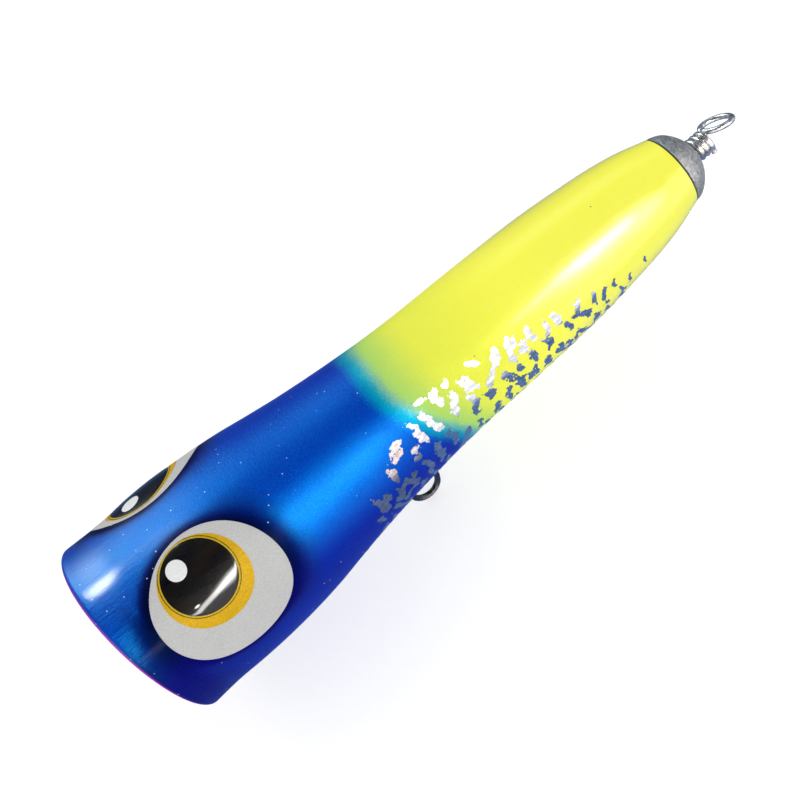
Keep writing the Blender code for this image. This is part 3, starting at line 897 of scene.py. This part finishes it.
def foil_field(flakes, x, arc, side):
    """Positive on a flake, with torn and chipped edges."""
    best = NO_FOIL
    for place, top, foot, width, lean in flakes:
        half = (foot - top) / 2
        off = (arc - top - half) / (half + 0.35)
        if abs(off) > 1.4:
            continue
        bend = noise.noise(Vector((place, arc / 2.3, 3 * side)))
        centre = place + lean * (arc - top - half) + 1.3 * bend
        side_off = (x - centre) / (width / 2 + 0.3)
        best = max(best, 1 - side_off**2 - off**4)
    if best < -FOIL_BLEED:
        return best
    torn = noise.noise(Vector((x / 1.1, arc / 1.7, 20 * side)))
    chips = noise.noise(Vector((x / 0.38, arc / 0.55, 30 * side)))
    return best - 0.26 + 1.25 * torn + 0.95 * chips


def over_belly_hole(x, arc):
    """Whether a place in millimetres lies over the belly hole or its rim."""
    radius = body_radius(x * MM) / MM
    angle = arc / radius
    if math.cos(angle) > 0:
        return False
    hole_x = (SWIVEL_PIVOT.x - LIP_X) / MM
    off_hole = math.hypot(x - hole_x, radius * math.sin(angle))
    return off_hole < BELLY_HOLE_RADIUS / MM + FOIL_HOLE_GAP


def foil_flakes(side, flank):
    """Marching squares over the flank: every flake becomes a thin raised sheet."""
    rows_of_flakes = foil_rows(side)
    columns = int((FOIL_LAST - FOIL_FIRST) / FOIL_CELL)
    widest = max(math.pi * body_radius(x * MM) / MM for x in (FOIL_FIRST, 70, 90))
    rows = int((widest - FOIL_TOP) / FOIL_CELL)
    xs = [FOIL_FIRST + i * FOIL_CELL for i in range(columns + 1)]
    arcs = [FOIL_TOP + j * FOIL_CELL for j in range(rows + 1)]
    field = []
    for x in xs:
        near = [flake for flake in rows_of_flakes if abs(flake[0] - x) < FOIL_REACH]
        field.append([
            NO_FOIL if over_belly_hole(x, arc) else foil_field(near, x, arc, side)
            for arc in arcs
        ])
    points = []
    index = {}

    def vertex(key, x, arc):
        if key not in index:
            index[key] = len(points)
            points.append((x, arc))
        return index[key]

    faces = []
    for i in range(columns):
        limit = math.pi * body_radius(xs[i] * MM) / MM - FOIL_BELLY_GAP
        for j in range(rows):
            if arcs[j + 1] > limit:
                break
            corners = ((i, j), (i + 1, j), (i + 1, j + 1), (i, j + 1))
            values = [field[a][b] for a, b in corners]
            if max(values) <= 0:
                continue
            ring = []
            for k in range(4):
                (a, b), (c, d) = corners[k], corners[(k + 1) % 4]
                here, there = values[k], values[(k + 1) % 4]
                if here > 0:
                    ring.append(vertex((a, b), xs[a], arcs[b]))
                if (here > 0) != (there > 0):
                    t = here / (here - there)
                    key = tuple(sorted(((a, b), (c, d))))
                    x = xs[a] + (xs[c] - xs[a]) * t
                    ring.append(vertex(key, x, arcs[b] + (arcs[d] - arcs[b]) * t))
            if len(ring) >= 3:
                faces.append(ring)
    placed = [on_surface(x * MM, side * arc * MM, FOIL_HEIGHT * MM) for x, arc in points]
    return facing_out(add_mesh("foil_flakes_" + flank, mesh_from("foil", placed, faces)))


def foil_material():
    """Crackled silver foil with soft creases, slightly pink over the blue paint."""
    m = Nodes("crackle_foil")
    place = m.millimetres()
    crease = m.noise(m.stretched(0.5, 1.0, 1.0), 1.1, 4.0, 0.6)
    colour = m.mix(m.between(crease, 0.3, 0.7), *FOIL_SILVERS)
    along = m.node("ShaderNodeSeparateXYZ", inputs={0: place})
    over_blue = m.between(along, LIP_X / MM + 80, LIP_X / MM + 68)
    colour = m.mix(over_blue, colour, FOIL_OVER_BLUE, "MULTIPLY")
    m.set(
        Base_Color=colour, Metallic=1.0, Roughness=0.16,
        Normal=m.bump(crease, 0.12, 0.4),
        Coat_Weight=1.0, Coat_Roughness=0.04, Coat_Normal=orange_peel(m, place),
    )
    return m.material


def make_foil():
    finish = foil_material()
    for side, flank in ((1, "left"), (-1, "right")):
        foil = foil_flakes(side, flank)
        sheet = foil.modifiers.new("Thickness", "SOLIDIFY")
        sheet.thickness = FOIL_THICKNESS * MM
        sheet.offset = 0
        finished(foil, angle=40)
        foil.data.materials.clear()
        foil.data.materials.append(finish)
        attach(foil, "lure")


# ---------------------------------------------------------------- tail weight

WEIGHT_RADIUS = 9.2 * MM
WEIGHT_NOSE_RADIUS = 3.1 * MM
WEIGHT_MOUTH_RADIUS = 1.6 * MM
WEIGHT_RIM = 0.12 * MM
WEIGHT_SHOULDER_POWER = 1.6
WEIGHT_SHOULDER_STEPS = 30
WEIGHT_SEGMENTS = 128
SPIGOT_CHAMFER = 0.3 * MM
LUMPS = ((320, 0.11 * MM), (1100, 0.04 * MM))
LUMP_SINK = 0.06 * MM
LEADS = ((0.19, 0.19, 0.195), (0.42, 0.415, 0.41))
LEAD_SCRAPE = (0.80, 0.79, 0.76)


def weight_material():
    """Dull cast lead: mottled grey with small bright scrapes and pits."""
    m = Nodes("cast_lead")
    place = m.millimetres()
    mottle = m.noise(place, 1.5, 5.0, 0.7)
    fine = m.noise(place, 4.0, 3.0, 0.7)
    colour = m.mix(m.between(mottle, 0.35, 0.65), *LEADS)
    bright = m.between(m.noise(m.stretched(1.0, 0.5, 1.0), 1.6, 4.0, 0.7), 0.58, 0.75)
    colour = m.mix(m.times(bright, 0.7), colour, LEAD_SCRAPE)
    relief = m.math("ADD", mottle, m.times(fine, 0.35))
    m.set(
        Base_Color=colour, Metallic=0.75,
        Roughness=m.between(fine, 0.3, 0.7, 0.42, 0.68),
        Normal=m.bump(relief, 0.30, 0.8),
    )
    return m.material


def weight_loop(length):
    """Closed profile loop of cap and spigot in (x, radius) from the cap's front face."""
    loop = [(0.0, SPIGOT_RADIUS), (0.0, WEIGHT_RADIUS - 0.3 * MM)]
    loop.append((WEIGHT_RIM, WEIGHT_RADIUS - 0.08 * MM))
    for i in range(1, WEIGHT_SHOULDER_STEPS + 1):
        turn = i / WEIGHT_SHOULDER_STEPS * math.pi / 2
        drop = 1 - math.cos(turn) ** WEIGHT_SHOULDER_POWER
        x = WEIGHT_RIM + (length - WEIGHT_RIM) * math.sin(turn)
        loop.append((x, WEIGHT_RADIUS - (WEIGHT_RADIUS - WEIGHT_NOSE_RADIUS) * drop))
    loop += [(length, WEIGHT_MOUTH_RADIUS), (length - 0.6 * MM, BORE_RADIUS)]
    loop += [(-SPIGOT_LENGTH, BORE_RADIUS), (-SPIGOT_LENGTH, SPIGOT_RADIUS - SPIGOT_CHAMFER)]
    loop.append((SPIGOT_CHAMFER - SPIGOT_LENGTH, SPIGOT_RADIUS))
    return loop


def make_tail_weight():
    """The cast cap, with a slightly uneven skin."""
    front = WEIGHT_LOW.x + SPIGOT_LENGTH + FIT_GAP
    centre = Vector((front, 0, AXIS_Z))
    weight = lathe("lead_cap", weight_loop(WEIGHT_HIGH.x - front), WEIGHT_SEGMENTS, centre)
    for vertex in weight.data.vertices:
        offset = vertex.co - centre
        radial = Vector((0, offset.y, offset.z))
        if offset.x < 0.2 * MM or radial.length < WEIGHT_NOSE_RADIUS * 0.9:
            continue
        lump = sum(noise.noise(vertex.co * scale) * height for scale, height in LUMPS)
        vertex.co += radial.normalized() * (lump - LUMP_SINK)
    finished(weight, angle=50)
    weight.data.materials.append(weight_material())
    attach(weight, "lure")
    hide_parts("tail_weight")


# ---------------------------------------------------------------- through wire

STRAND_OFFSET = 0.8 * MM
COIL_RADIUS = 2.45 * MM
COIL_PITCH = 1.43 * MM
COIL_TURNS = 2.44
COIL_START = 0.8 * MM
COIL_POINTS_PER_TURN = 40
COIL_ENTRY_ANGLE = math.radians(65)
COIL_ENTRY_RISE = 0.25
COIL_ENTRY_STEPS = 10
STRAND_SHARES = (0.3, 0.55, 0.75)
LOOP_HALF_LENGTH = 3.75 * MM
LOOP_HALF_WIDTH = 3.5 * MM
LOOP_POINTS = 64
LOOP_ROOT = 5.4 * MM
TAG_LENGTH = 0.9 * MM
TAG_FLARE = 0.8
NOSE_COIL_GAP = 0.3 * MM
TAIL_EYE_TURN = math.radians(245)
TAIL_LEAN_TURN = math.radians(-50)
TAIL_LEAN_START = 0.68 * LOOP_ROOT
TAIL_LEAN_AT_ROOT = 2.2 * MM
TAIL_LEAN_AT_TIP = 0.7 * MM
SMOOTHING = 3
# STEELS: bright steel, and a darker brown painted in for the wire's dim reflections.
STEELS = ((0.82, 0.79, 0.76), (0.42, 0.36, 0.32))
# NICKELS: dark nickel, and a brighter brown painted in for the ring's highlights.
NICKELS = ((0.13, 0.115, 0.11), (0.42, 0.36, 0.31))


def wire_eye(mouth, outward, plane_angle, lean):
    """Path of a wrapped wire eye, from the bore's mouth to the wire's cut end."""
    beside = around(plane_angle)

    def at(s, radial):
        return Vector((mouth + outward * s, 0, AXIS_Z)) + radial + lean(s)

    root_angle = math.asin(STRAND_OFFSET / LOOP_HALF_WIDTH)
    loop_centre = LOOP_ROOT + LOOP_HALF_LENGTH * math.cos(root_angle)
    points = [at(0, Vector()), at(COIL_START, -beside * STRAND_OFFSET)]
    points += [at(LOOP_ROOT * share, -beside * STRAND_OFFSET) for share in STRAND_SHARES]
    sweep = math.pi - root_angle
    for i in range(LOOP_POINTS + 1):
        turn = -sweep + 2 * sweep * i / LOOP_POINTS
        s = loop_centre + LOOP_HALF_LENGTH * math.cos(turn)
        points.append(at(s, beside * LOOP_HALF_WIDTH * math.sin(turn)))
    points += [at(LOOP_ROOT * share, beside * STRAND_OFFSET) for share in STRAND_SHARES[::-1]]
    for i in range(COIL_ENTRY_STEPS):
        share = i / COIL_ENTRY_STEPS
        radius = STRAND_OFFSET + (COIL_RADIUS - STRAND_OFFSET) * math.sin(share * math.pi / 2)
        s = COIL_START + COIL_PITCH * COIL_ENTRY_RISE * (1 - share) ** 2
        points.append(at(s, around(plane_angle + COIL_ENTRY_ANGLE * share) * radius))
    steps = round(COIL_TURNS * COIL_POINTS_PER_TURN)
    for i in range(steps + 1):
        turn = 2 * math.pi * i / COIL_POINTS_PER_TURN
        angle = plane_angle + COIL_ENTRY_ANGLE + turn
        s = COIL_START + COIL_PITCH * turn / (2 * math.pi)
        points.append(Vector((mouth + outward * s, 0, AXIS_Z)) + around(angle) * COIL_RADIUS)
    tangent = (points[-1] - points[-2]).normalized()
    points.append(points[-1] + tangent * TAG_LENGTH + around(angle) * TAG_LENGTH * TAG_FLARE)
    return points


def wire_material():
    """Bright drawn stainless with fine lengthwise scratches and darker brownish patches painted in
    as dim reflections.
    """
    m = Nodes("stainless_wire")
    place = m.millimetres()
    # Painted reflection: darker brown patches stand in for dim reflections.
    dark_reflection_patches = m.noise(place, 0.8, 3.0)
    colour = m.mix(m.between(dark_reflection_patches, 0.4, 0.7), *STEELS)
    scratch = m.noise(m.stretched(0.3, 1.0, 1.0), 6.0, 3.0, 0.7)
    m.set(
        Base_Color=colour, Metallic=0.85,
        Roughness=m.between(scratch, 0.3, 0.7, 0.14, 0.26),
        Normal=m.bump(scratch, 0.03, 0.4),
    )
    return m.material


def make_through_wire():
    sideways = around(TAIL_LEAN_TURN)

    def tail_lean(s):
        if s < TAIL_LEAN_START:
            return Vector()
        if s < LOOP_ROOT:
            share = (s - TAIL_LEAN_START) / (LOOP_ROOT - TAIL_LEAN_START)
            return sideways * TAIL_LEAN_AT_ROOT * share
        share = (s - LOOP_ROOT) / (2 * LOOP_HALF_LENGTH)
        return sideways * (TAIL_LEAN_AT_ROOT + (TAIL_LEAN_AT_TIP - TAIL_LEAN_AT_ROOT) * share)

    nose = wire_eye(LIP_X + CUP_DEPTH - NOSE_COIL_GAP, -1, 0.0, lambda s: Vector())
    tail = wire_eye(WEIGHT_HIGH.x, 1, TAIL_EYE_TURN, tail_lean)
    path = smoothed(nose, SMOOTHING)[::-1] + smoothed(tail, SMOOTHING)
    wire = tube("bent_wire", path, WIRE_RADIUS)
    finished(wire, angle=60)
    wire.data.materials.append(wire_material())
    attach(wire, "lure")
    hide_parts("through_wire")


# ---------------------------------------------------------------- swivel


def nickel_material():
    """Black nickel with brighter brownish spots, painted in as its highlights."""
    m = Nodes("black_nickel")
    place = m.millimetres()
    painted_sheen = m.noise(place, 1.3, 4.0, 0.6)
    # Painted highlight: brighter brownish spots on the dark nickel.
    colour = m.mix(m.between(painted_sheen, 0.5, 0.75), *NICKELS)
    m.set(
        Base_Color=colour, Metallic=1.0,
        Roughness=m.between(painted_sheen, 0.3, 0.7, 0.10, 0.22),
        Normal=m.bump(m.noise(place, 5.0, 3.0), 0.02, 0.3),
    )
    return m.material


def make_swivel():
    """Carried-over swivel solids, in black nickel."""
    finish = nickel_material()
    for node in ("swivel_inner_eye", "swivel_barrel", "swivel_outer_eye"):
        obj = frame["nodes"][node]
        obj.data.materials.clear()
        obj.data.materials.append(finish)
        obj.data.shade_smooth()
        obj.data.set_sharp_from_angle(angle=math.radians(40))


# ---------------------------------------------------------------- stage

CAMERA_FROM_LIP = Vector((55.92, -188.03, 242.32)) * MM
AIM_FROM_LIP = Vector((77.95, 0.48, 0.37)) * MM
CAMERA_ROLL = math.radians(-35.41)
CAMERA_LENS = 60.72
SENSOR_WIDTH = 36
CLIP_START = 0.01
FLOOR_HALF = 4.0
FLOOR_GREYS = ((0.48, 0.48, 0.48), (0.52, 0.52, 0.52))
FLOOR_GLOW = 0.60


def floor_material():
    m = Nodes("pale_floor")
    cloud = m.noise(m.millimetres(), 0.004, 3.0)
    m.set(
        Base_Color=m.mix(cloud, *FLOOR_GREYS), Roughness=0.8,
        Emission_Color=WHITE, Emission_Strength=FLOOR_GLOW,
    )
    return m.material


def make_floor():
    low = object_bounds()[0][2]
    half = FLOOR_HALF
    corners = [(-half, -half, low), (half, -half, low), (half, half, low), (-half, half, low)]
    floor = add_mesh("floor", mesh_from("floor", corners, [(0, 1, 2, 3)]))
    floor.data.materials.append(floor_material())
    floor.visible_glossy = False


SKY_LOW = (0.12, 0.22, 0.46)
SKY_BACK = (0.05, 0.09, 0.18)
SKY_FRONT = (1.40, 1.42, 1.46)
SKY_HIGH = (0.08, 0.11, 0.18)
SKY_CAMERA = (0.04, 0.05, 0.08)
SKY_EVEN = 0.98
LAMP_SHARE_ON_MATT = 0.03
FRONT_LOW, FRONT_TOP, FRONT_EDGE = -0.42, 0.36, 0.12
CAMERA_PATCH = 24

# Lamps: direction from the lure, spread across and upright in degrees, roll in degrees,
# strength, colour.
LAMPS = (
    ((0.42, -0.77, 0.49), (5.4, 8.8), 0, 10.5, (1.0, 0.99, 0.97)),
    ((0.49, -0.78, 0.40), (10.5, 19.0), 0, 4.2, (1.0, 1.0, 1.0)),
    ((-0.05, -0.89, 0.41), (16.5, 2.3), 31, 28.0, (1.0, 0.98, 0.94)),
    ((0.07, -0.87, 0.46), (8.0, 4.6), 31, 30.0, (1.0, 0.98, 0.94)),
    ((-0.20, -0.88, 0.43), (1.0, 1.0), 0, 80.0, (1.0, 0.85, 0.70)),
    ((0.28, -0.84, 0.46), (8.0, 13.0), 0, 1.6, (0.85, 0.96, 1.0)),
    ((-0.11, 0.41, 0.90), (1.5, 7.0), 0, 33.0, (0.95, 0.99, 1.0)),
    ((-0.26, 0.72, 0.64), (12.0, 25.0), 0, 3.6, (0.90, 0.98, 1.0)),
    ((0.10, 0.70, 0.71), (34.0, 12.0), 0, 1.3, (0.50, 0.88, 1.0)),
)


def dot(m, ray, direction):
    return m.vector("DOT_PRODUCT", ray, direction, output="Value")


def lamp(m, ray, direction, spread, roll, strength, colour):
    """A far softbox in one direction: even in the middle, with soft edges."""
    centre = Vector(direction).normalized()
    level_axis = centre.cross(Vector((0, 0, 1))).normalized()
    turn = Matrix.Rotation(math.radians(roll), 3, centre)
    across = turn @ level_axis
    upright = across.cross(centre)
    total = None
    for axis, width in ((across, spread[0]), (upright, spread[1])):
        scaled = m.math("DIVIDE", dot(m, ray, axis), math.radians(width))
        square = m.times(scaled, scaled)
        total = square if total is None else m.math("ADD", total, square)
    level = m.math("EXPONENT", m.times(m.times(total, total), -0.5))
    level = m.times(level, m.between(dot(m, ray, centre), 0.0, 0.2))
    level = m.times(level, strength)
    return m.vector("SCALE", colour, level)


def make_world():
    """A soft studio: a bright front wall, dim bluish behind, above and below, with lamps.

    Matt surfaces see the same lamps in an even, neutral sky.
    """
    m = Nodes("studio", world=True)
    ray = m.node("ShaderNodeTexCoord", output="Generated")
    parts = m.tree.nodes.new("ShaderNodeSeparateXYZ")
    m.put(parts.inputs[0], ray)
    height, depth = parts.outputs["Z"], parts.outputs["Y"]
    view = (CAMERA_FROM_LIP - AIM_FROM_LIP).normalized()
    above = m.between(height, FRONT_TOP - FRONT_EDGE, FRONT_TOP + FRONT_EDGE)
    sky = m.mix(m.between(depth, -0.12, 0.12), SKY_FRONT, SKY_BACK)
    sky = m.mix(above, sky, SKY_HIGH)
    edge = math.cos(math.radians(CAMERA_PATCH))
    sky = m.mix(m.between(dot(m, ray, view), edge - 0.03, edge + 0.03), sky, SKY_CAMERA)
    sky = m.mix(m.between(height, FRONT_LOW - FRONT_EDGE, FRONT_LOW + FRONT_EDGE), SKY_LOW, sky)
    lamps = (0.0, 0.0, 0.0)
    for description in LAMPS:
        lamps = m.vector("ADD", lamps, lamp(m, ray, *description))
    shiny = m.vector("ADD", sky, lamps)
    grey = m.node("ShaderNodeRGBToBW", inputs={0: lamps})
    even = m.math("MULTIPLY_ADD", grey, LAMP_SHARE_ON_MATT)
    even.node.inputs[2].default_value = SKY_EVEN
    matt = m.node("ShaderNodeCombineColor", inputs={0: even, 1: even, 2: even})
    rays = m.tree.nodes.new("ShaderNodeLightPath")
    seen = m.mix(rays.outputs["Is Diffuse Ray"], shiny, matt)
    seen = m.mix(rays.outputs["Is Camera Ray"], seen, WHITE)
    m.put(m.shader.inputs["Color"], seen)
    m.material.cycles.sampling_method = "NONE"
    bpy.context.scene.world = m.material


def make_camera():
    camera = bpy.data.cameras.new("photo_view")
    camera.sensor_width = SENSOR_WIDTH
    camera.lens = CAMERA_LENS
    obj = bpy.data.objects.new("photo_view", camera)
    place, aim = LIP + CAMERA_FROM_LIP, LIP + AIM_FROM_LIP
    ahead = (aim - place).normalized()
    level = ahead.cross(Vector((0, 0, 1))).normalized()
    lift = level.cross(ahead)
    right = level * math.cos(CAMERA_ROLL) + lift * math.sin(CAMERA_ROLL)
    up = right.cross(ahead)
    turn = Matrix((right, up, -ahead)).transposed()
    obj.matrix_world = Matrix.Translation(place) @ turn.to_4x4()
    camera.clip_start = CLIP_START
    bpy.context.scene.collection.objects.link(obj)
    bpy.context.scene.camera = obj


make_body()
make_eyes()
make_foil()
make_tail_weight()
make_through_wire()
make_swivel()
make_floor()
make_world()
make_camera()
bpy.context.scene.view_settings.view_transform = "Standard"
